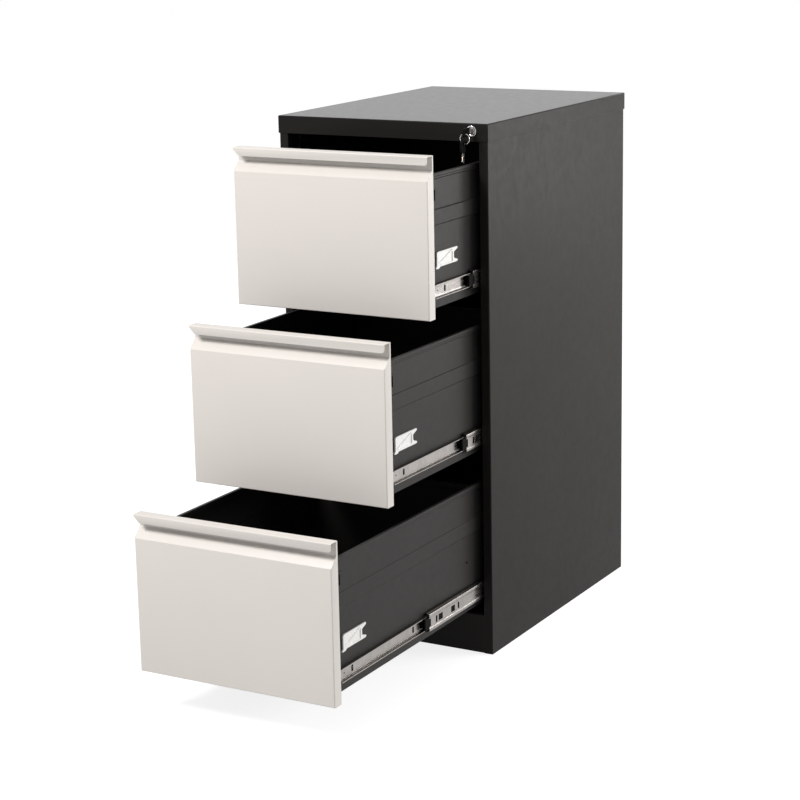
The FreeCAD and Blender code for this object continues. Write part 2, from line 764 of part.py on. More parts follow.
# Cam: a lever on the plug's square, with a pin that lifts the locking bar.
def make_lock_cam():
    front = front_y + lock_plug_length
    back = front + cam_sheet
    tip_x, tip_z = cam_tip()
    hub = along_y(cam_hub_radius, lock_x, front, back, lock_z)
    end = along_y(cam_tip_radius, tip_x, front, back, tip_z)
    slope = math.asin((cam_hub_radius - cam_tip_radius) / cam_throw)
    aim = math.radians(-cam_half_turn)
    corners = []
    for radius, centre in ((cam_hub_radius, (lock_x, lock_z)), (cam_tip_radius, (tip_x, tip_z))):
        for side in (1, -1):
            angle = aim + side * (math.pi / 2 - slope)
            corners.append((centre[0] + radius * math.cos(angle),
                            centre[1] + radius * math.sin(angle)))
    arm = prism([corners[0], corners[2], corners[3], corners[1]], vec(0, front, 0),
                vec(1, 0, 0), vec(0, 0, 1), vec(0, cam_sheet, 0))
    pin_back = front_y + bar_setback + bar_sheet + cam_pin_past_bar
    pin = along_y(cam_pin_radius, tip_x, back, pin_back, tip_z)
    half_square = cam_square / 2
    hole = box(lock_x - half_square, lock_x + half_square, front - cut_overrun,
               back + cut_overrun, lock_z - half_square, lock_z + half_square)
    return hub.fuse(arm).fuse(end).fuse(pin).removeSplitter().cut(hole)


def make_cam_nut():
    seat = front_y + lock_plug_length + cam_sheet
    blank = hexagon(cam_nut_flats, seat, seat + cam_nut_thickness)
    return blank.cut(along_y(cam_stud_radius, lock_x, seat - cut_overrun,
                             seat + cam_nut_thickness + cut_overrun, lock_z))


def hook_top(drawer_index):
    """Upper edge of a drawer's hook, a little below the drawer's catch."""
    return front_bottom(drawer_index) + catch_rise - hook_below_catch


# Locking bar: a strip behind the right stile, from below the lowest hook to the lift plate. It
# hangs low here, where the lock is open.
def make_locking_bar():
    front = front_y + bar_setback
    low = hook_top(0) - hook_height - bar_tail
    return box(bar_x, bar_x + bar_sheet, front, front + bar_width, low, lift_plate_top())


def lift_plate_top():
    return cam_tip()[1] + cam_pin_radius + bar_slot_clearance + bar_slot_margin


# Bar hooks: plates welded to the bar, one for each drawer's catch, and at the top the lift plate
# with the slot for the cam's pin.
def make_bar_hooks():
    front = front_y + bar_setback
    tip_x, tip_z = cam_tip()
    slot_half = cam_pin_radius + bar_slot_clearance
    slot_low_x = tip_x - cam_pin_radius - bar_slot_overrun
    slot_high_x = lock_x + cam_throw + cam_pin_radius + bar_slot_overrun
    plate = box(slot_low_x - bar_slot_margin, bar_x, front, front + bar_sheet,
                tip_z - slot_half - bar_slot_margin, lift_plate_top())
    slot = box(slot_low_x, slot_high_x, front - cut_overrun, front + bar_sheet + cut_overrun,
               tip_z - slot_half, tip_z + slot_half)
    plates = [plate.cut(slot)]
    for drawer_index in range(len(drawer_names)):
        top = hook_top(drawer_index)
        plates.append(box(drawer_x + hook_tip_gap, bar_x, front, front + bar_sheet,
                          top - hook_height, top))
    return Part.makeCompound(plates)


# Bar guide: a moulded block between the side panel and the front upright, slotted for the bar.
def make_bar_guide(drawer_index):
    low = front_bottom(drawer_index) + guide_rise
    slot_x = bar_x - guide_clearance
    slot_y = front_y + bar_setback - guide_clearance
    block = box(slot_x - guide_wall, side_inner_x, slot_y - guide_wall,
                front_y + front_upright_setback, low, low + guide_height)
    slot = box(slot_x, bar_x + bar_sheet + guide_clearance, slot_y,
               slot_y + bar_width + 2 * guide_clearance, low - cut_overrun,
               low + guide_height + cut_overrun)
    return block.cut(slot)


def key_shape():
    """Key along +Y from the middle of its ring hole, standing upright in Z, with its blade's tip at
    the far end."""
    half_bow = key_bow_height / 2
    corner = key_bow_corner
    end = -key_hole_from_end
    blade_start = key_bow_length - key_hole_from_end
    bow_outline = [(end, corner - half_bow), (end, half_bow - corner), (end + corner, half_bow),
                   (blade_start - corner, half_bow), (blade_start, half_bow - corner),
                   (blade_start, corner - half_bow), (blade_start - corner, -half_bow),
                   (end + corner, -half_bow)]
    bow = prism(bow_outline, vec(-key_bow_thickness / 2, 0, 0), vec(0, 1, 0), vec(0, 0, 1),
                vec(key_bow_thickness, 0, 0))
    half_blade = key_blade_height / 2
    half_thick = key_blade_thickness / 2
    tip = blade_start + key_blade_length
    root = blade_start - key_blade_root
    shoulder = tip - half_blade / 2
    blade_outline = [(root, -half_blade), (root, half_blade), (shoulder, half_blade), (tip, 0),
                     (shoulder, -half_blade)]
    blade = prism(blade_outline, vec(-half_thick, 0, 0), vec(0, 1, 0), vec(0, 0, 1),
                  vec(key_blade_thickness, 0, 0))
    for number in range(key_bit_count):
        middle = tip - half_blade - key_bit_spacing * (number + 0.5)
        notch = [(middle - key_bit_depth, -half_blade), (middle, key_bit_depth - half_blade),
                 (middle + key_bit_depth, -half_blade)]
        blade = blade.cut(prism(notch, vec(-half_thick, 0, 0), vec(0, 1, 0), vec(0, 0, 1),
                                vec(key_blade_thickness, 0, 0)))
    hole = along_x(key_hole_radius, -key_bow_thickness, key_bow_thickness, 0, 0)
    return bow.fuse(blade).removeSplitter().cut(hole)


def key_hole_y():
    """Ring hole of the key that is in the lock."""
    bow_back = front_y - key_stands_off
    return bow_back - key_bow_length + key_hole_from_end


def ring_centre_z():
    return lock_z - key_hole_radius + ring_slack - ring_inner_radius


def make_key():
    key = key_shape()
    key.translate(vec(lock_x, key_hole_y(), lock_z))
    return key


# Key ring: flat wire, hung through the hole of the key in the lock and facing the front.
def make_key_ring():
    centre = vec(lock_x, key_hole_y() - ring_wire_width / 2, ring_centre_z())
    outer = Part.makeCylinder(ring_inner_radius + ring_wire_height, ring_wire_width, centre,
                              vec(0, 1, 0))
    return outer.cut(Part.makeCylinder(ring_inner_radius, ring_wire_width, centre, vec(0, 1, 0)))


def make_spare_key():
    angle = math.radians(spare_key_angle)
    hang_x = lock_x - (ring_inner_radius + ring_wire_height / 2) * math.sin(angle)
    wire_top = ring_centre_z() - ring_inner_radius * math.cos(angle)
    key = key_shape()
    key.rotate(vec(0, 0, 0), vec(1, 0, 0), -90)
    key.translate(vec(hang_x, key_hole_y(), wire_top + spare_key_slack - key_hole_radius))
    return key


def write(name, shape):
    shape.exportStep(os.path.join("parts", name + ".step"))


os.makedirs("parts", exist_ok=True)

right_side_panel = make_right_side_panel()
write("top_cap", make_top_cap())
write("right_side_panel", right_side_panel)
write("left_side_panel", mirrored(right_side_panel))
write("back_panel", make_back_panel())
write("plinth_rail", make_plinth_rail())
write("base_pan", make_base_pan())
right_uprights = Part.makeCompound([make_right_upright(front_upright_setback),
                                    make_right_upright(rear_upright_setback)])
write("slide_uprights", pair(right_uprights))
write("lock_housing", make_lock_housing())
write("lock_nut", make_lock_nut())
write("lock_plug", make_lock_plug())
write("lock_cam", make_lock_cam())
write("cam_nut", make_cam_nut())
write("locking_bar", make_locking_bar())
write("bar_hooks", make_bar_hooks())
write("bar_guides", Part.makeCompound([make_bar_guide(index) for index in range(len(drawer_names))]))
write("key", make_key())
write("key_ring", make_key_ring())
write("spare_key", make_spare_key())

for index, name in enumerate(drawer_names):
    right_side = make_drawer_right_side(index)
    write(name + "_drawer_front", make_drawer_front(index))
    write(name + "_drawer_liner", make_drawer_liner(index))
    write(name + "_drawer_right_side", right_side)
    write(name + "_drawer_left_side", mirrored(right_side))
    write(name + "_drawer_floor", make_drawer_floor(index))
    write(name + "_drawer_back", make_drawer_back(index))
    write(name + "_drawer_clips", pair(make_drawer_clip(index)))
    write(name + "_drawer_lock_catch", make_lock_catch(index))
    write(name + "_drawer_members", pair(make_drawer_member(index)))
    write(name + "_telescope_members", pair(make_telescope_member(index)))
    write(name + "_slide_stops", pair(make_slide_stop(index)))
    write(name + "_cabinet_members", pair(make_cabinet_member(index)))
    write(name + "_inner_ball_retainers", pair(make_inner_retainer(index)))
    write(name + "_outer_ball_retainers", pair(make_outer_retainer(index)))
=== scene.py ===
import math

import bmesh
import bpy
import numpy as np
from mathutils import Matrix, Vector


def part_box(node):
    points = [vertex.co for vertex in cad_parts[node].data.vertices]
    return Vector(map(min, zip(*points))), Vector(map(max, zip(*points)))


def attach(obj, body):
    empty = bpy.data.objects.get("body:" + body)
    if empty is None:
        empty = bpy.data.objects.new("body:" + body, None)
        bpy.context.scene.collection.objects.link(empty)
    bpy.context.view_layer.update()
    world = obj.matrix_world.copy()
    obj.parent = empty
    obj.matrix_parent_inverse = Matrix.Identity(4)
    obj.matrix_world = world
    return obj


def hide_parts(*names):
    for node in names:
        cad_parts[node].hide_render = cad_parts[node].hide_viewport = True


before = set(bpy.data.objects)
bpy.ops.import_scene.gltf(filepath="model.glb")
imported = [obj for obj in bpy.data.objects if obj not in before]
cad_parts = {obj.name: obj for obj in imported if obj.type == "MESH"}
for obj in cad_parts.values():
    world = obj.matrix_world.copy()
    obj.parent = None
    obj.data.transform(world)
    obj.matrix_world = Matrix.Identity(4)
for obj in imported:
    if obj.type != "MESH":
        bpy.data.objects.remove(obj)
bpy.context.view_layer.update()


# Camera: stands at the height of the cabinet's top, to the right of its front, and looks slightly
# down, as in the photograph. Its place and turn come from the cabinet's own corners there.
camera_place = Vector((2.049, -3.544, 1.474))
camera_yaw, camera_down, camera_roll = 0.519, 0.237, -0.020
camera_data = bpy.data.cameras.new("camera")
camera_data.sensor_width = 36.0
camera_data.lens = 97.1
camera = bpy.data.objects.new("camera", camera_data)
bpy.context.scene.collection.objects.link(camera)
ahead = Vector((-math.sin(camera_yaw) * math.cos(camera_down),
                math.cos(camera_yaw) * math.cos(camera_down), -math.sin(camera_down)))
level = Vector((math.cos(camera_yaw), math.sin(camera_yaw), 0.0))
above = level.cross(ahead)
across = level * math.cos(camera_roll) + above * math.sin(camera_roll)
upward = above * math.cos(camera_roll) - level * math.sin(camera_roll)
turn = Matrix((across, upward, -ahead)).transposed()
camera.matrix_world = Matrix.Translation(camera_place) @ turn.to_4x4()
bpy.context.scene.camera = camera
bpy.context.scene.view_settings.view_transform = "Standard"


# Studio: a white floor and white surroundings. A soft lamp stands high in front on the left, a
# wider one to the right and a little behind, and a small low one far behind on the right.
def studio_lamp(name, place, aim, width, height, watts):
    """Rectangular soft lamp at a place, facing the point that it lights."""
    data = bpy.data.lights.new(name, "AREA")
    data.shape = "RECTANGLE"
    data.size = width
    data.size_y = height
    data.energy = watts
    data.color = (1.0, 0.975, 0.95)
    lamp = bpy.data.objects.new(name, data)
    bpy.context.scene.collection.objects.link(lamp)
    lamp.location = place
    lamp.rotation_euler = (Vector(aim) - Vector(place)).to_track_quat("-Z", "Y").to_euler()
    lamp.visible_camera = False


def new_piece(name, points, faces):
    """Mesh object of these points and faces, put into the scene."""
    mesh = bpy.data.meshes.new(name)
    mesh.from_pydata(points, [], faces)
    piece = bpy.data.objects.new(name, mesh)
    bpy.context.scene.collection.objects.link(piece)
    return piece


def shader_inputs(material):
    """Inputs of a material's own shader."""
    return material.node_tree.nodes["Principled BSDF"].inputs


def calculated(nodes, links, operation, first, second):
    """One sum, difference, product or comparison of two values."""
    step = nodes.new("ShaderNodeMath")
    step.operation = operation
    for index, value in enumerate((first, second)):
        if isinstance(value, (int, float)):
            step.inputs[index].default_value = value
        else:
            links.new(value, step.inputs[index])
    return step.outputs[0]


def seen_directly(nodes, links):
    """1 for what is seen straight, in a mirror or through glass, and 0 for light that falls on the
    pieces."""
    ray = nodes.new("ShaderNodeLightPath").outputs
    mirrored = calculated(nodes, links, "MAXIMUM", ray["Is Camera Ray"], ray["Is Glossy Ray"])
    return calculated(nodes, links, "MAXIMUM", mirrored, ray["Is Transmission Ray"])


studio_lamp("key_lamp", (-1.2, -3.1, 3.7), (0.0, -0.1, 0.6), 1.3, 1.3, 166)
studio_lamp("side_lamp", (3.55, 2.1, 1.7), (0.2, -0.1, 0.8), 2.2, 1.1, 118)
studio_lamp("low_lamp", (2.6, 3.9, 0.6), (0.2, 0.1, 0.9), 1.2, 0.9, 22)

surroundings_light = 0.42
backdrop_light = 1.0
world = bpy.data.worlds.new("studio")
bpy.context.scene.world = world
world.use_nodes = True
world_nodes, world_links = world.node_tree.nodes, world.node_tree.links
world_nodes.clear()
choose = world_nodes.new("ShaderNodeMixShader")
world_links.new(seen_directly(world_nodes, world_links), choose.inputs["Fac"])
for index, strength in ((1, surroundings_light), (2, backdrop_light)):
    background = world_nodes.new("ShaderNodeBackground")
    background.inputs["Color"].default_value = (1.0, 1.0, 1.0, 1.0)
    background.inputs["Strength"].default_value = strength
    world_links.new(background.outputs[0], choose.inputs[index])
world_out = world_nodes.new("ShaderNodeOutputWorld")
world_links.new(choose.outputs[0], world_out.inputs["Surface"])

floor_half = 30
floor_glow = 0.82
floor = new_piece("studio_floor", [(-floor_half, -floor_half, 0), (floor_half, -floor_half, 0),
                                   (floor_half, floor_half, 0), (-floor_half, floor_half, 0)],
                  [(0, 1, 2, 3)])
floor_paint = bpy.data.materials.new("studio_floor")
floor_paint.use_nodes = True
floor_nodes, floor_links = floor_paint.node_tree.nodes, floor_paint.node_tree.links
floor_inputs = shader_inputs(floor_paint)
floor_inputs["Base Color"].default_value = (0.42, 0.42, 0.42, 1.0)
floor_inputs["Roughness"].default_value = 0.9
floor_inputs["Specular IOR Level"].default_value = 0.0
floor_inputs["Emission Color"].default_value = (1.0, 1.0, 1.0, 1.0)
floor_links.new(calculated(floor_nodes, floor_links, "MULTIPLY",
                           seen_directly(floor_nodes, floor_links), floor_glow),
                floor_inputs["Emission Strength"])
floor.data.materials.append(floor_paint)


# Powder coat: baked paint on sheet steel. Its skin has a fine orange peel, the film is a little
# thicker here and thinner there, and a trace of dust lies on what faces up.
def add_socket(group, name, kind, is_input, value=None):
    """Adds a named input or output to a node group, with its usual value."""
    socket = group.interface.new_socket(name=name, in_out="INPUT" if is_input else "OUTPUT",
                                        socket_type=kind)
    if value is not None:
        socket.default_value = value


def noise_at(nodes, links, place, scale, detail, roughness=0.5):
    """Noise of so many bumps to the metre, read at a place on the piece."""
    noise = nodes.new("ShaderNodeTexNoise")
    noise.inputs["Scale"].default_value = scale
    noise.inputs["Detail"].default_value = detail
    noise.inputs["Roughness"].default_value = roughness
    links.new(place, noise.inputs["Vector"])
    return noise.outputs["Fac"]


def spread(nodes, links, value, low, high, out_low, out_high):
    """Maps a value from one range to another, and holds it there."""
    ramp = nodes.new("ShaderNodeMapRange")
    ramp.inputs["From Min"].default_value = low
    ramp.inputs["From Max"].default_value = high
    links.new(value, ramp.inputs["Value"])
    ramp.inputs["To Min"].default_value = out_low
    ramp.inputs["To Max"].default_value = out_high
    return ramp.outputs["Result"]


def mixed(nodes, links, share, first, second):
    """Colour between two colours by a share."""
    blend = nodes.new("ShaderNodeMix")
    blend.data_type = "RGBA"
    links.new(share, blend.inputs["Factor"])
    for name, value in (("A", first), ("B", second)):
        socket = next(s for s in blend.inputs if s.name == name and s.type == "RGBA")
        if isinstance(value, tuple):
            socket.default_value = value
        else:
            links.new(value, socket)
    return next(s for s in blend.outputs if s.type == "RGBA")


coat = bpy.data.node_groups.new("powder_coat", "ShaderNodeTree")
add_socket(coat, "Paint", "NodeSocketColor", True, (0.05, 0.05, 0.05, 1.0))
add_socket(coat, "Thin Film", "NodeSocketColor", True, (0.06, 0.06, 0.06, 1.0))
add_socket(coat, "Dust", "NodeSocketColor", True, (0.4, 0.39, 0.37, 1.0))
add_socket(coat, "Dust Share", "NodeSocketFloat", True, 0.05)
add_socket(coat, "Peel Scale", "NodeSocketFloat", True, 450.0)
add_socket(coat, "Peel Depth", "NodeSocketFloat", True, 0.00002)
add_socket(coat, "Gloss", "NodeSocketFloat", True, 0.4)
add_socket(coat, "Color", "NodeSocketColor", False)
add_socket(coat, "Roughness", "NodeSocketFloat", False)
add_socket(coat, "Normal", "NodeSocketVector", False)
c_nodes, c_links = coat.nodes, coat.links
c_in = c_nodes.new("NodeGroupInput")
c_out = c_nodes.new("NodeGroupOutput")
c_place = c_nodes.new("ShaderNodeTexCoord").outputs["Object"]
c_peel = c_nodes.new("ShaderNodeTexNoise")
c_peel.inputs["Detail"].default_value = 2.0
c_peel.inputs["Roughness"].default_value = 0.6
c_links.new(c_place, c_peel.inputs["Vector"])
c_links.new(c_in.outputs["Peel Scale"], c_peel.inputs["Scale"])
c_film = noise_at(c_nodes, c_links, c_place, 5.0, 3.0)
c_speck = noise_at(c_nodes, c_links, c_place, 1400.0, 1.0)
c_tone = calculated(c_nodes, c_links, "ADD", spread(c_nodes, c_links, c_film, 0.35, 0.7, 0.0, 0.6),
                    spread(c_nodes, c_links, c_speck, 0.55, 0.8, 0.0, 0.4))
c_colour = mixed(c_nodes, c_links, c_tone, c_in.outputs["Paint"], c_in.outputs["Thin Film"])
c_facing = c_nodes.new("ShaderNodeSeparateXYZ")
c_links.new(c_nodes.new("ShaderNodeNewGeometry").outputs["Normal"], c_facing.inputs[0])
c_lying = spread(c_nodes, c_links, c_facing.outputs["Z"], 0.7, 1.0, 0.0, 1.0)
c_patch = spread(c_nodes, c_links, noise_at(c_nodes, c_links, c_place, 14.0, 6.0, 0.6),
                 0.3, 0.75, 0.3, 1.0)
c_dust = calculated(c_nodes, c_links, "MULTIPLY", calculated(c_nodes, c_links, "MULTIPLY", c_lying,
                                                             c_patch),
                    c_in.outputs["Dust Share"])
c_links.new(mixed(c_nodes, c_links, c_dust, c_colour, c_in.outputs["Dust"]), c_out.inputs["Color"])
c_sheen = spread(c_nodes, c_links, noise_at(c_nodes, c_links, c_place, 60.0, 4.0), 0.3, 0.7,
                 -0.035, 0.035)
c_links.new(calculated(c_nodes, c_links, "ADD", c_in.outputs["Gloss"],
                       calculated(c_nodes, c_links, "ADD", c_sheen, c_dust)),
            c_out.inputs["Roughness"])
c_bump = c_nodes.new("ShaderNodeBump")
c_links.new(c_in.outputs["Peel Depth"], c_bump.inputs["Distance"])
c_links.new(c_peel.outputs["Fac"], c_bump.inputs["Height"])
c_links.new(c_bump.outputs[0], c_out.inputs["Normal"])


def from_group(name, group, settings):
    """Material whose colour, roughness and normal come from a node group with these settings."""
    material = bpy.data.materials.new(name)
    material.use_nodes = True
    nodes, links = material.node_tree.nodes, material.node_tree.links
    skin = nodes.new("ShaderNodeGroup")
    skin.node_tree = group
    for socket, value in settings.items():
        skin.inputs[socket].default_value = value
    for socket, target in (("Color", "Base Color"), ("Roughness", "Roughness"),
                           ("Normal", "Normal")):
        links.new(skin.outputs[socket], shader_inputs(material)[target])
    return material


def powder_coated(name, paint, thin_film, gloss, peel_scale, peel_depth, dust, dust_share):
    """Baked paint of one colour, from the powder coat group."""
    return from_group(name, coat, {"Paint": paint, "Thin Film": thin_film, "Dust": dust,
                                   "Dust Share": dust_share, "Peel Scale": peel_scale,
                                   "Peel Depth": peel_depth, "Gloss": gloss})


def softened(piece, width, segments=2):
    """Rounds a piece's sharp edges by a small radius."""
    bevel = piece.modifiers.new("edge", "BEVEL")
    bevel.width = width
    bevel.segments = segments
    bevel.limit_method = "ANGLE"
    bevel.angle_limit = math.radians(40)


def dressed(node_name, material, edge=0.0003):
    """Gives a CAD node its material, and softens its edges by a bend's or a burr's small radius."""
    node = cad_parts[node_name]
    for place in node.material_slots:
        place.material = material
    weld = node.modifiers.new("weld", "WELD")
    weld.merge_threshold = 0.000002
    softened(node, edge)


# Carcass: side panels, back, plinth and base of folded sheet, and a top cap dropped over them, all
# in the same charcoal powder coat with a fine texture and a satin gloss.
charcoal = powder_coated("charcoal_coat", (0.0130, 0.0120, 0.0110, 1.0),
                         (0.0165, 0.0153, 0.0140, 1.0), 0.36, 900.0, 0.000012,
                         (0.30, 0.29, 0.28, 1.0), 0.03)
charcoal_nodes, charcoal_links = charcoal.node_tree.nodes, charcoal.node_tree.links
charcoal_inputs = shader_inputs(charcoal)
charcoal_inputs["Specular IOR Level"].default_value = 0.07
charcoal_inputs["Coat Roughness"].default_value = 0.36
charcoal_slant = charcoal_nodes.new("ShaderNodeLayerWeight")
charcoal_slant.inputs["Blend"].default_value = 0.5
slant_from, slant_to, slant_coat = 0.66, 0.86, 0.82
charcoal_links.new(spread(charcoal_nodes, charcoal_links, charcoal_slant.outputs["Facing"],
                          slant_from, slant_to, 0.0, slant_coat), charcoal_inputs["Coat Weight"])
for node_name in ("top_cap", "right_side_panel", "left_side_panel", "plinth_rail", "base_pan",
                  "back_panel"):
    dressed(node_name, charcoal, 0.0004)


# Zinc-plated steel: the uprights and slides are rolled from strip and plated, so they carry fine
# lines along their length, a faint cloudiness and brighter rubbed streaks.
zinc = bpy.data.node_groups.new("plated_strip", "ShaderNodeTree")
add_socket(zinc, "Plating", "NodeSocketColor", True, (0.56, 0.55, 0.53, 1.0))
add_socket(zinc, "Cloud", "NodeSocketColor", True, (0.46, 0.455, 0.44, 1.0))
add_socket(zinc, "Gloss", "NodeSocketFloat", True, 0.3)
add_socket(zinc, "Line Depth", "NodeSocketFloat", True, 0.000006)
add_socket(zinc, "Color", "NodeSocketColor", False)
add_socket(zinc, "Roughness", "NodeSocketFloat", False)
add_socket(zinc, "Normal", "NodeSocketVector", False)
z_nodes, z_links = zinc.nodes, zinc.links
z_in = z_nodes.new("NodeGroupInput")
z_out = z_nodes.new("NodeGroupOutput")
z_place = z_nodes.new("ShaderNodeTexCoord").outputs["Object"]
z_along = z_nodes.new("ShaderNodeMapping")
z_along.inputs["Scale"].default_value = (1.0, 0.03, 1.0)
z_links.new(z_place, z_along.inputs["Vector"])
z_lines = noise_at(z_nodes, z_links, z_along.outputs[0], 1500.0, 3.0)
z_cloud = noise_at(z_nodes, z_links, z_place, 45.0, 4.0, 0.6)
z_links.new(mixed(z_nodes, z_links, spread(z_nodes, z_links, z_cloud, 0.35, 0.7, 0.0, 1.0),
                  z_in.outputs["Plating"], z_in.outputs["Cloud"]), z_out.inputs["Color"])
z_links.new(calculated(z_nodes, z_links, "ADD", z_in.outputs["Gloss"],
                       spread(z_nodes, z_links, z_lines, 0.3, 0.7, -0.07, 0.09)),
            z_out.inputs["Roughness"])
z_bump = z_nodes.new("ShaderNodeBump")
z_links.new(z_in.outputs["Line Depth"], z_bump.inputs["Distance"])
z_links.new(z_lines, z_bump.inputs["Height"])
z_links.new(z_bump.outputs[0], z_out.inputs["Normal"])


def plated(name, plating, cloud, gloss, line_depth):
    """Bare plated metal of one colour, from the plated strip group."""
    material = from_group(name, zinc, {"Plating": plating, "Cloud": cloud, "Gloss": gloss,
                                       "Line Depth": line_depth})
    shader_inputs(material)["Metallic"].default_value = 1.0
    return material


zinc_plate = plated("zinc_plate", (0.34, 0.32, 0.305, 1.0), (0.27, 0.255, 0.245, 1.0), 0.24,
                    0.000006)
dressed("slide_uprights", zinc_plate)


# Moulded plastic: bar guides and slide parts in black, drawer clips in white, both with the soft
# grain that a spark-finished mould leaves.
def moulded(name, colour, worn_colour, gloss, grain):
    """Moulded plastic: a low grain, a faintly uneven colour and gloss."""
    material = bpy.data.materials.new(name)
    material.use_nodes = True
    nodes, links = material.node_tree.nodes, material.node_tree.links
    shader = nodes["Principled BSDF"]
    place = nodes.new("ShaderNodeTexCoord").outputs["Object"]
    links.new(mixed(nodes, links, spread(nodes, links, noise_at(nodes, links, place, 90.0, 3.0),
                                         0.35, 0.75, 0.0, 1.0), colour, worn_colour),
              shader.inputs["Base Color"])
    links.new(spread(nodes, links, noise_at(nodes, links, place, 260.0, 3.0), 0.3, 0.7,
                     gloss - 0.05, gloss + 0.06), shader.inputs["Roughness"])
    bump = nodes.new("ShaderNodeBump")
    bump.inputs["Distance"].default_value = grain
    links.new(noise_at(nodes, links, place, 2600.0, 2.0), bump.inputs["Height"])
    links.new(bump.outputs[0], shader.inputs["Normal"])
    return material


black_plastic = moulded("black_plastic", (0.006, 0.006, 0.006, 1.0), (0.010, 0.010, 0.010, 1.0),
                        0.42, 0.00002)
shader_inputs(black_plastic)["Specular IOR Level"].default_value = 0.02
white_plastic = moulded("white_plastic", (0.88, 0.88, 0.87, 1.0), (0.80, 0.80, 0.79, 1.0),
                        0.38, 0.00001)
dressed("bar_guides", black_plastic)


# Lock: a turned housing with a rolled rim, pushed through the cap's skirt from the front and held
# by a nut behind it. Housing, plug and cam are plated brass and steel.
def turned(name, profile, centre, steps=96):
    """Turned ring about an axis that runs front to back: each point (radius, distance along the
    axis) of a closed profile goes round as centre + radius (cos a, 0, sin a) + distance
    (0, 1, 0)."""
    radius, along = np.asarray(profile, float).T
    angle = np.linspace(0.0, 2.0 * np.pi, steps, endpoint=False)
    grid = np.empty((steps, len(radius), 3))
    grid[..., 0] = centre[0] + np.outer(np.cos(angle), radius)
    grid[..., 1] = along
    grid[..., 2] = centre[2] + np.outer(np.sin(angle), radius)
    return closed_grid(name, grid)


def closed_grid(name, grid):
    """Mesh of a grid of points that joins up both ways round: face (i, j) takes the points (i, j),
    (i+1, j), (i+1, j+1) and (i, j+1)."""
    rows, columns = grid.shape[:2]
    number = np.arange(rows * columns).reshape(rows, columns)
    ahead_row = np.roll(number, -1, axis=0)
    faces = np.stack([number, ahead_row, np.roll(ahead_row, -1, axis=1),
                      np.roll(number, -1, axis=1)], axis=-1).reshape(-1, 4)
    return new_piece(name, grid.reshape(-1, 3).tolist(), faces.tolist())


def faced_outwards(piece):
    """Turns a closed piece's faces outwards, and shades it smooth up to its sharp edges."""
    work = bmesh.new()
    work.from_mesh(piece.data)
    bmesh.ops.recalc_face_normals(work, faces=work.faces)
    work.to_mesh(piece.data)
    work.free()
    piece.data.shade_smooth()
    piece.data.set_sharp_from_angle(angle=math.radians(35))
    return piece


def surfaced(piece, *materials):
    """Gives a piece its materials, in place of any that it had."""
    piece.data.materials.clear()
    for material in materials:
        piece.data.materials.append(material)


lock_low, lock_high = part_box("lock_housing")
lock_centre = ((lock_low.x + lock_high.x) / 2, 0.0, (lock_low.z + lock_high.z) / 2)
lock_front, lock_back = lock_low.y, lock_high.y
lock_rim = (lock_high.x - lock_low.x) / 2
plug_radius = 0.00605
barrel_radius = 0.008
rim_depth = 0.003
rim_roll = 0.0009
face_inset = 0.0016
plug_collar = ((0.0, 0.0006), (0.0006, 0.0003), (0.0010, 0.0006), (0.0014, 0.0001))
skirt_front = lock_front + rim_depth
rolled = [(lock_rim - rim_roll + rim_roll * math.sin(a),
           lock_front + rim_roll - rim_roll * math.cos(a))
          for a in np.linspace(0.0, math.pi / 2, 7)]
lock_profile = ([(plug_radius + out, lock_front + deep) for out, deep in plug_collar]
                + [(lock_rim - face_inset, lock_front)] + rolled
                + [(lock_rim, skirt_front), (barrel_radius, skirt_front),
                   (barrel_radius, lock_back), (plug_radius, lock_back)])
lock_plate = plated("lock_chrome", (0.74, 0.74, 0.75, 1.0), (0.66, 0.66, 0.67, 1.0), 0.12,
                    0.0000015)
lock_shell = faced_outwards(turned("lock_shell", lock_profile, lock_centre))
surfaced(lock_shell, lock_plate)
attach(lock_shell, "carcass")
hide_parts("lock_housing")
plug_plate = plated("plug_nickel", (0.24, 0.235, 0.23, 1.0), (0.18, 0.175, 0.17, 1.0), 0.32,
                    0.000003)
dressed("lock_plug", plug_plate, 0.0002)
for node_name in ("lock_nut", "lock_cam", "cam_nut", "locking_bar", "bar_hooks"):
    dressed(node_name, zinc_plate, 0.0002)


# Keys: blades of nickel silver, stamped and cut, each with a black grip moulded over its bow. One
# stands in the plug, and the other hangs from the split ring.
def rounded_outline(half_length, half_height, corner, steps=6):
    """Outline of a rectangle with round corners: four quarter circles, one centred a corner radius
    inside each corner, joined by straight lines."""
    angle = np.linspace(0.0, np.pi / 2, steps)
    quarter = np.stack([np.cos(angle), np.sin(angle)], axis=1) * corner
    centre = np.array([half_length - corner, half_height - corner])
    turns = ((1, 0, 1, 1), (0, 1, -1, 1), (-1, 0, -1, -1), (0, -1, 1, -1))
    outline = np.concatenate([np.stack([quarter[:, 0] * cos - quarter[:, 1] * sin + centre[0] * u,
                                        quarter[:, 0] * sin + quarter[:, 1] * cos + centre[1] * v],
                                       axis=1)
                              for cos, sin, u, v in turns])
    step = np.linalg.norm(outline - np.roll(outline, 1, axis=0), axis=1)
    return outline[step > 0.000001]


def cut_plates(name, outlines, low_x, high_x):
    """Plates cut to outlines of (distance back, height), each standing from one distance across the
    cabinet to another, with flat faces at both ends."""
    points, faces = [], []
    for outline in outlines:
        outline = np.asarray(outline, float)
        count, first = len(outline), 2 * sum(len(done) for done in outlines[:len(faces)])
        index = np.arange(count) + first
        ahead_index = np.roll(index, -1)
        ends = [np.column_stack([np.full(count, x), outline]) for x in (low_x, high_x)]
        points.append(np.concatenate(ends))
        faces.append(np.stack([index, ahead_index, ahead_index + count, index + count], 1).tolist()
                     + [index[::-1].tolist(), (index + count).tolist()])
    return faced_outwards(new_piece(name, np.concatenate(points).tolist(), sum(faces, [])))


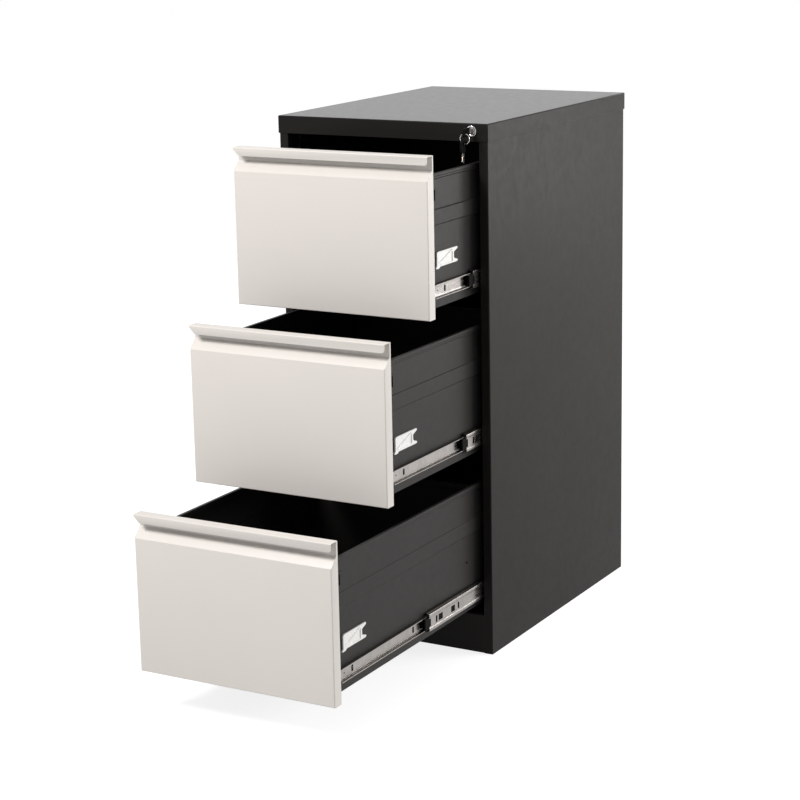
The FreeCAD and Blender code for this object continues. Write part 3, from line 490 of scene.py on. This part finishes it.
def cut_away(piece, cutter):
    """Takes one closed piece's space out of another, and leaves the cutter out of the scene."""
    cut = piece.modifiers.new("cut", "BOOLEAN")
    cut.operation = "DIFFERENCE"
    cut.solver = "EXACT"
    cut.object = cutter
    seen_piece = piece.evaluated_get(bpy.context.evaluated_depsgraph_get())
    finished = bpy.data.meshes.new_from_object(seen_piece)
    piece.modifiers.remove(cut)
    piece.data = finished
    bpy.data.objects.remove(cutter)
    faced_outwards(piece)


key_metal = plated("key_metal", (0.74, 0.66, 0.60, 1.0), (0.62, 0.55, 0.49, 1.0), 0.24, 0.000003)
grip_half_length, grip_half_height, grip_corner = 0.0117, 0.0081, 0.0045
grip_outline = rounded_outline(grip_half_length, grip_half_height, grip_corner)
hole_radius = 0.0029
grip_hole = rounded_outline(hole_radius, hole_radius, hole_radius)
grip_half = 0.0021
hole_inset = 0.006
grip_shift = 0.005
cutter_reach = 0.01
for node_name, hangs in (("key", False), ("spare_key", True)):
    dressed(node_name, key_metal, 0.0003)
    key_low, key_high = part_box(node_name)
    middle_x = (key_low.x + key_high.x) / 2
    if hangs:
        hole_at = np.array([(key_low.y + key_high.y) / 2, key_high.z - hole_inset])
        outline = grip_outline[:, ::-1] + hole_at - [0.0, grip_shift]
    else:
        hole_at = np.array([key_low.y + hole_inset, (key_low.z + key_high.z) / 2])
        outline = grip_outline + hole_at + [grip_shift, 0.0]
    grip = cut_plates(node_name + "_grip", [outline], middle_x - grip_half, middle_x + grip_half)
    cut_away(grip, cut_plates("hole", [grip_hole + hole_at], middle_x - cutter_reach,
                              middle_x + cutter_reach))
    softened(grip, 0.0007, 3)
    surfaced(grip, black_plastic)
    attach(grip, node_name)


# Key ring: spring wire wound twice round and pressed flat, nickel-plated, with both of its ends
# cut square.
def walls_between(number):
    """Faces that join each row of a grid of point numbers to the next one, all the way round."""
    return np.stack([number[:-1], number[1:], np.roll(number[1:], -1, axis=1),
                     np.roll(number[:-1], -1, axis=1)], axis=-1).reshape(-1, 4)


def wound(name, centre, radius, half_wide, half_thick, turns, steps=160):
    """Flat wire along a helix: at turn angle a its middle is centre + radius (cos a, 0, sin a), and
    it crosses over from the first layer to the second on a smooth step halfway along."""
    first_angle, crossing_from, crossing_share = 2.2, 0.45, 0.10
    layer_fill, corner_share = 0.97, 0.6
    angle = np.linspace(0.0, 2.0 * np.pi * turns, steps) - first_angle
    share = np.clip((np.linspace(0.0, 1.0, steps) - crossing_from) / crossing_share, 0.0, 1.0)
    layer = (share * share * (3.0 - 2.0 * share) * 2.0 - 1.0) * half_wide
    section = rounded_outline(half_thick, half_wide * layer_fill, half_thick * corner_share, 4)
    grid = np.empty((steps, len(section), 3))
    arm = radius + section[:, 0]
    grid[..., 0] = centre[0] + np.outer(np.cos(angle), arm)
    grid[..., 1] = centre[1] + layer[:, None] + section[:, 1]
    grid[..., 2] = centre[2] + np.outer(np.sin(angle), arm)
    number = np.arange(steps * len(section)).reshape(steps, len(section))
    ends = [number[0].tolist(), number[-1][::-1].tolist()]
    return faced_outwards(new_piece(name, grid.reshape(-1, 3).tolist(),
                                    walls_between(number).tolist() + ends))


ring_low, ring_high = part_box("key_ring")
rim_to_middle = 0.0006
wire_half_wide = 0.00036
wire_half_thick = 0.0005
ring_turns = 2
ring_radius = (ring_high.x - ring_low.x) / 2 - rim_to_middle
split_ring = wound("split_ring", tuple((ring_low + ring_high) / 2), ring_radius, wire_half_wide,
                   wire_half_thick, ring_turns)
ring_nickel = plated("ring_nickel", (0.72, 0.71, 0.69, 1.0), (0.62, 0.61, 0.59, 1.0), 0.18,
                     0.000002)
surfaced(split_ring, ring_nickel)
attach(split_ring, "key_ring")
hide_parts("key_ring")


# Drawers: folded fronts in light grey paint on charcoal bodies, each with a liner, two sides with a
# rolled rail and a pressed band, a floor and a back.
drawers = ("lower", "middle", "upper")
light_grey = powder_coated("light_grey_coat", (0.700, 0.668, 0.636, 1.0),
                           (0.720, 0.688, 0.656, 1.0), 0.40, 520.0, 0.00001,
                           (0.62, 0.60, 0.57, 1.0), 0.05)
drawer_grey = powder_coated("drawer_grey_coat", (0.020, 0.0189, 0.0182, 1.0),
                            (0.025, 0.0237, 0.0227, 1.0), 0.42, 800.0, 0.00001,
                            (0.28, 0.27, 0.26, 1.0), 0.04)
shader_inputs(drawer_grey)["Specular IOR Level"].default_value = 0.12


def square_lip_end(drawer, radius=0.0055):
    """Copy of a drawer front whose hanging lip ends square at its right-hand end, as in the
    photograph: there the points of its cut corner go to centre + radius (sin a, -cos a), with a
    from 0 to a quarter turn, and the left-hand end keeps its slanting cut."""
    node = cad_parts[drawer + "_drawer_front"]
    low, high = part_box(drawer + "_drawer_front")
    work = bmesh.new()
    work.from_mesh(node.data)
    bmesh.ops.remove_doubles(work, verts=work.verts[:], dist=0.000002)
    mesh = bpy.data.meshes.new(drawer + "_front_sheet")
    work.to_mesh(mesh)
    work.free()
    place = np.empty(len(mesh.vertices) * 3, np.float32)
    mesh.vertices.foreach_get("co", place)
    place = place.reshape(-1, 3)
    lip_height, skin, slant_height = 0.016, 0.0012, 0.0121
    foot_near, foot_far, foot_height = 0.0095, 0.0142, 0.0016
    bend_end, bend_length, near = 0.0141, 0.0036, 0.0002
    slack, end_height = 0.0001, 0.0115
    inward = high.x - place[:, 0]
    above_lip = place[:, 2] - (high.z - lip_height)
    hanging = (place[:, 1] < low.y + skin) & (above_lip > -slack) & (above_lip < slant_height)
    cut = hanging & (inward > foot_near) & (inward < foot_far) & (above_lip < foot_height)
    angle = np.clip((bend_end - inward) / bend_length, 0.0, 1.0) * np.pi / 2
    place[:, 0] = np.where(cut, high.x - radius + radius * np.sin(angle), place[:, 0])
    place[:, 2] = np.where(cut, high.z - lip_height + radius - radius * np.cos(angle), place[:, 2])
    end = hanging & (inward < near) & (above_lip > end_height)
    place[:, 2] = np.where(end, high.z - lip_height + radius + near, place[:, 2])
    mesh.vertices.foreach_set("co", place.reshape(-1))
    mesh.update()
    sheet = bpy.data.objects.new(drawer + "_front_sheet", mesh)
    bpy.context.scene.collection.objects.link(sheet)
    softened(faced_outwards(sheet), 0.0004)
    surfaced(sheet, light_grey)
    return sheet


for drawer in drawers:
    front_sheet = square_lip_end(drawer)
    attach(front_sheet, drawer + "_drawer")
    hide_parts(drawer + "_drawer_front")
    for part in ("liner", "right_side", "left_side", "floor", "back", "lock_catch"):
        dressed(drawer + "_drawer_" + part, drawer_grey)
    dressed(drawer + "_cabinet_members", zinc_plate)
    for part in ("slide_stops", "inner_ball_retainers", "outer_ball_retainers"):
        dressed(drawer + "_" + part, black_plastic)


# Plinth welds: a flat bead, dressed and painted over, closes the joint between either end of the
# plinth rail and the stile beside it.
def both_sides(piece):
    """Adds a piece's mirror image on the other side of the cabinet, turned right side out."""
    work = bmesh.new()
    work.from_mesh(piece.data)
    twin = bmesh.ops.duplicate(work, geom=work.verts[:] + work.edges[:] + work.faces[:])["geom"]
    bmesh.ops.scale(work, vec=(-1, 1, 1),
                    verts=[part for part in twin if isinstance(part, bmesh.types.BMVert)])
    work.to_mesh(piece.data)
    work.free()
    faced_outwards(piece)


rail_low, rail_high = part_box("plinth_rail")
bead_half, bead_corner, bead_end_gap = 0.0024, 0.0023, 0.0012
bead_behind, bead_overlap, bead_reach = 0.0026, 0.0003, 0.0013
bead = rounded_outline(bead_half, (rail_high.z - rail_low.z) / 2 - bead_end_gap, bead_corner)
plinth_welds = cut_plates("plinth_welds",
                          [bead + [rail_low.y + bead_behind, (rail_low.z + rail_high.z) / 2]],
                          rail_high.x - bead_overlap, rail_high.x + bead_reach)
both_sides(plinth_welds)
surfaced(plinth_welds, charcoal)
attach(plinth_welds, "carcass")


# Slides: the drawer and telescope members are rolled from plated strip. Each has round bends and a
# rolled ball track along its flanges, and slots are punched through its web for screws and for the
# mould that holds the plastic parts. The flat faces of the flanges are painted dark: painted shade.
def folded_strip(corners, radius, gauge, steps=5):
    """Closed outline of a folded strip: its middle line runs straight between the corners and round
    each on an arc of one radius, and the outline is that line moved half a gauge to either side."""
    corners = np.asarray(corners, float)
    leg = np.diff(corners, axis=0)
    heading = leg / np.linalg.norm(leg, axis=1)[:, None]
    before, after = heading[:-1], heading[1:]
    bend = np.arctan2(before[:, 0] * after[:, 1] - before[:, 1] * after[:, 0],
                      (before * after).sum(axis=1))
    left = np.stack([-before[:, 1], before[:, 0]], axis=1)
    start = corners[1:-1] - before * (radius * np.tan(np.abs(bend) / 2))[:, None]
    out = -left * (np.sign(bend) * radius)[:, None]
    swept = bend[:, None] * np.linspace(0.0, 1.0, steps)
    cos, sin = np.cos(swept)[..., None], np.sin(swept)[..., None]
    out_left = np.stack([-out[:, 1], out[:, 0]], axis=1)
    arcs = (start - out)[:, None] + out[:, None] * cos + out_left[:, None] * sin
    along = before[:, None] * cos + left[:, None] * sin
    line = np.concatenate([corners[:1], arcs.reshape(-1, 2), corners[-1:]])
    along = np.concatenate([heading[:1], along.reshape(-1, 2), heading[-1:]])
    shift = np.stack([-along[:, 1], along[:, 0]], axis=1) * gauge / 2
    return np.concatenate([line + shift, (line - shift)[::-1]])


def drawn_out(name, outline, front, back):
    """Strip of one section: an outline of (distance across, height) carried from front to back,
    with flat ends."""
    count = len(outline)
    index = np.arange(count)
    ahead_index = np.roll(index, -1)
    points = np.concatenate([np.insert(outline, 1, y, axis=1) for y in (front, back)])
    faces = np.stack([index, ahead_index, ahead_index + count, index + count], axis=1).tolist()
    ends = [index[::-1].tolist(), (index + count).tolist()]
    return faced_outwards(new_piece(name, points.tolist(), faces + ends))


strip_gauge = 0.0012
strip_bend = 0.0007
side_face = 0.1967
half_drawer_member = [(0.0006, 0.0), (0.0006, 0.01245), (0.0021, 0.01245), (0.0039, 0.01195),
                      (0.0057, 0.01245), (0.0076, 0.01245)]
half_telescope = [(0.0097, 0.0), (0.0097, 0.0098), (0.0107, 0.0112), (0.0107, 0.0164),
                  (0.0070, 0.0164), (0.0054, 0.01795), (0.0024, 0.01795)]
drawer_member_slots = [(0.045, 0.0034, 0.0062, 0.0033), (0.264, 0.0034, 0.0062, 0.0033),
                       (0.017, 0.0016, 0.0016, 0.0016), (0.500, 0.0022, 0.0045, 0.0022)]
telescope_slots = [(0.029, 0.0030, 0.0066, 0.0006), (0.045, 0.0080, 0.0060, 0.0006),
                   (0.094, 0.0075, 0.0060, 0.0006), (0.116, 0.0030, 0.0062, 0.0006),
                   (0.0, 0.0070, 0.0078, 0.0025), (0.300, 0.0075, 0.0060, 0.0006),
                   (0.420, 0.0030, 0.0060, 0.0006)]
# Dark colour for the flat flange faces: painted shade in the slide channels.
channel_shade = plated("painted_channel_shade", (0.075, 0.068, 0.060, 1.0), (0.050, 0.045, 0.040, 1.0), 0.34,
                 0.000006)
holes_from, holes_to = -0.002, 0.014
flange_slope = 0.3


def rolled_member(name, node_name, half_section, radius, slots, shade_span):
    """Slide member in a CAD node's place, from its section's upper half and its punched slots, each
    with its distance behind the front end, half its length and height, and its corner. The flat
    faces of its flanges, between two distances out from the drawer side, take a dark colour:
    painted shade."""
    low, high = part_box(node_name)
    middle_z = (low.z + high.z) / 2
    half = np.array(half_section)
    section = np.concatenate([half[:0:-1] * [1, -1], half[1:]])
    outline = folded_strip(section, radius, strip_gauge) + [side_face, middle_z]
    member = drawn_out(name, outline, low.y, high.y)
    holes = [rounded_outline(*slot[1:]) + [low.y + slot[0], middle_z] for slot in slots]
    cut_away(member, cut_plates("holes", holes, side_face + holes_from, side_face + holes_to))
    both_sides(member)
    surfaced(member, zinc_plate, channel_shade)
    count = len(member.data.polygons)
    normal = np.empty(count * 3, np.float32)
    centre = np.empty(count * 3, np.float32)
    member.data.polygons.foreach_get("normal", normal)
    member.data.polygons.foreach_get("center", centre)
    # Flat flange faces within the span take the dark second material: painted shade.
    out = np.abs(centre.reshape(-1, 3)[:, 0]) - side_face
    lies = np.abs(normal.reshape(-1, 3)[:, 2]) > flange_slope
    shade_faces = lies & (out > shade_span[0]) & (out < shade_span[1])
    member.data.polygons.foreach_set("material_index", shade_faces.astype(np.int32))
    return member


for drawer in drawers:
    for stage, half_section, slots, shade_span in (
            ("drawer", half_drawer_member, drawer_member_slots, (0.0010, 0.0066)),
            ("telescope", half_telescope, telescope_slots, (0.0020, 0.0078))):
        node_name = drawer + "_" + stage + "_members"
        member = rolled_member(drawer + "_" + stage + "_rolled", node_name, half_section,
                               strip_bend, slots, shade_span)
        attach(member, drawer + "_" + stage)
        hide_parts(node_name)


# Slide screws: blackened pan heads that hold the drawer members to the drawer sides, each seen in
# its slot in the member's web. Their near-black colour is partly painted shade, for the dark slots.
def domed_heads(name, centres, radius, height, rings=8, steps=24):
    """Pan heads standing out across the cabinet: at share t from rim to crown a head's radius is
    radius cos(t a quarter turn) and its height is height sin(t a quarter turn), over a flat
    foot."""
    angle = np.linspace(0.0, 2.0 * np.pi, steps, endpoint=False)
    share = np.linspace(0.0, np.pi / 2, rings, endpoint=False)
    arm, rise = radius * np.cos(share), height * np.sin(share)
    one = np.empty((rings, steps, 3))
    one[..., 0] = rise[:, None]
    one[..., 1] = np.outer(arm, np.cos(angle))
    one[..., 2] = np.outer(arm, np.sin(angle))
    number = np.arange(rings * steps).reshape(rings, steps)
    faces = []
    for k in range(len(centres)):
        first = k * rings * steps
        faces += (walls_between(number) + first).tolist()
        faces += [(number[0] + first).tolist(), (number[-1][::-1] + first).tolist()]
    points = one.reshape(1, -1, 3) + np.asarray(centres)[:, None]
    return faced_outwards(new_piece(name, points.reshape(-1, 3).tolist(), faces))


# Near-black screw heads: black-oxide steel, and partly painted shade in the slots.
screw_black_and_shade = moulded("blackened_steel_and_slot_shade", (0.010, 0.010, 0.011, 1.0), (0.016, 0.016, 0.017, 1.0),
                    0.30, 0.000004)
shader_inputs(screw_black_and_shade)["Specular IOR Level"].default_value = 0.12
head_radius = 0.0040
head_height = 0.0024
head_sink = 0.0002
screwed_length = 0.005
for drawer in drawers:
    low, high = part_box(drawer + "_drawer_members")
    heads = domed_heads(drawer + "_slide_screws",
                        [(side_face - head_sink, low.y + slot[0], (low.z + high.z) / 2)
                         for slot in drawer_member_slots if slot[2] > screwed_length],
                        head_radius, head_height)
    both_sides(heads)
    surfaced(heads, screw_black_and_shade)
    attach(heads, drawer + "_drawer")


# Clips: white mouldings pushed into the drawer sides. Each is a thin plate with a rim, a diagonal
# rib, two tapered prongs at its rear end and a small foot under its front corner.
clip_outline = np.array([(0, 2.5), (-4.0, -1.2), (-3.2, -3.0), (6.5, -3.0), (12, 0), (76, 0),
                         (79, 2.6), (77.5, 4.2), (66, 7.6), (64.5, 10), (64.5, 18), (66.5, 20),
                         (77, 23.8), (79, 25.6), (77.5, 28), (3, 28), (0, 25)]) / 1000
clip_pockets = [np.array([(7.5, 3.4), (60, 3.4), (60, 22.0)]) / 1000,
                np.array([(3.4, 5.6), (57.5, 24.8), (3.4, 24.8)]) / 1000]
clip_ahead, clip_height, clip_thickness = 0.004, 0.028, 0.0032
pocket_floor, pocket_cut_end = 0.0014, 0.005
for drawer in drawers:
    node_name = drawer + "_drawer_clips"
    low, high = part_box(node_name)
    corner = np.array([low.y + clip_ahead, high.z - clip_height])
    clip = cut_plates(drawer + "_clip_mouldings", [clip_outline + corner],
                      side_face, side_face + clip_thickness)
    cut_away(clip, cut_plates("pockets", [pocket + corner for pocket in clip_pockets],
                              side_face + pocket_floor, side_face + pocket_cut_end))
    both_sides(clip)
    softened(clip, 0.0005)
    surfaced(clip, white_plastic)
    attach(clip, drawer + "_drawer")
    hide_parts(node_name)
